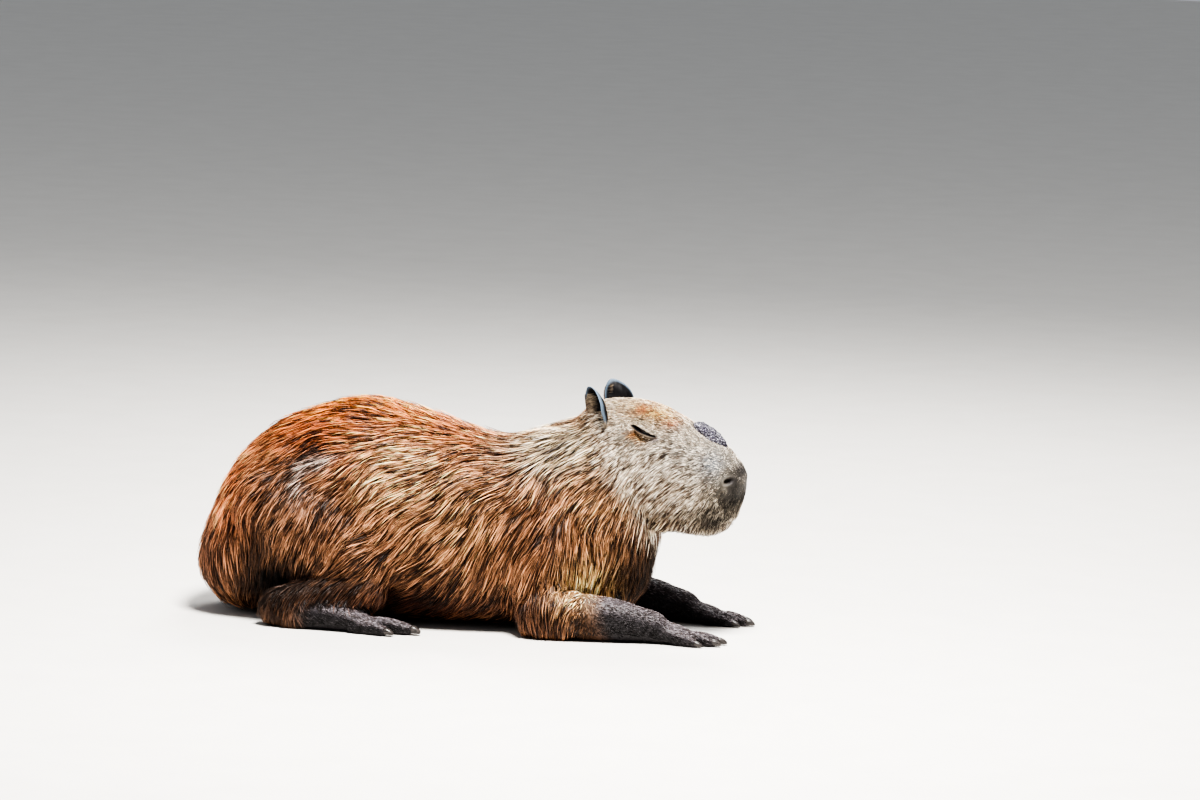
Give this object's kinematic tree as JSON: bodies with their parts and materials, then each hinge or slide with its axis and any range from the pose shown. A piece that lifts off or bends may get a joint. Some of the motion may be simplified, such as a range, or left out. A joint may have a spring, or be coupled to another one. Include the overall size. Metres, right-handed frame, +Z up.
{
  "type": "capybara lying at rest",
  "caption": "Life-size still model of an adult capybara that lies on its belly, head raised, forelegs stretched out and hind legs folded.",
  "frame": {"origin": "middle of the model's bounding box at ground level", "axes": "+X towards the nose, +Y to the animal's left, +Z up"},
  "size_m": [0.9994, 0.4448, 0.4439],
  "materials": {
    "coat": "coarse rust-brown coat",
    "neck_coat": "coarse tan coat",
    "face_coat": "short pale coat",
    "bare_skin": "grey-brown bare skin with thin short hair",
    "gland": "shiny bare skin",
    "claw": "dark worn horn",
    "eye": "wet dark eye"
  },
  "bodies": {
    "root": {"ear_left": "bare_skin", "ear_right": "bare_skin", "eye_left": "eye", "eye_right": "eye", "forearm_left": "bare_skin", "forearm_right": "bare_skin", "forefoot_left": "bare_skin", "forefoot_left_claw_inner": "claw", "forefoot_left_claw_outer": "claw", "forefoot_left_claw_second": "claw", "forefoot_left_claw_third": "claw", "forefoot_right": "bare_skin", "forefoot_right_claw_inner": "claw", "forefoot_right_claw_outer": "claw", "forefoot_right_claw_second": "claw", "forefoot_right_claw_third": "claw", "haunch_left": "coat", "haunch_right": "coat", "head": "face_coat", "hindfoot_left": "bare_skin", "hindfoot_left_claw_inner": "claw", "hindfoot_left_claw_middle": "claw", "hindfoot_left_claw_outer": "claw", "hindfoot_right": "bare_skin", "hindfoot_right_claw_inner": "claw", "hindfoot_right_claw_middle": "claw", "hindfoot_right_claw_outer": "claw", "neck": "neck_coat", "shank_left": "coat", "shank_right": "coat", "shoulders": "coat", "snout_gland": "gland", "torso": "coat", "upper_arm_left": "coat", "upper_arm_right": "coat"}
  },
  "joints": []
}
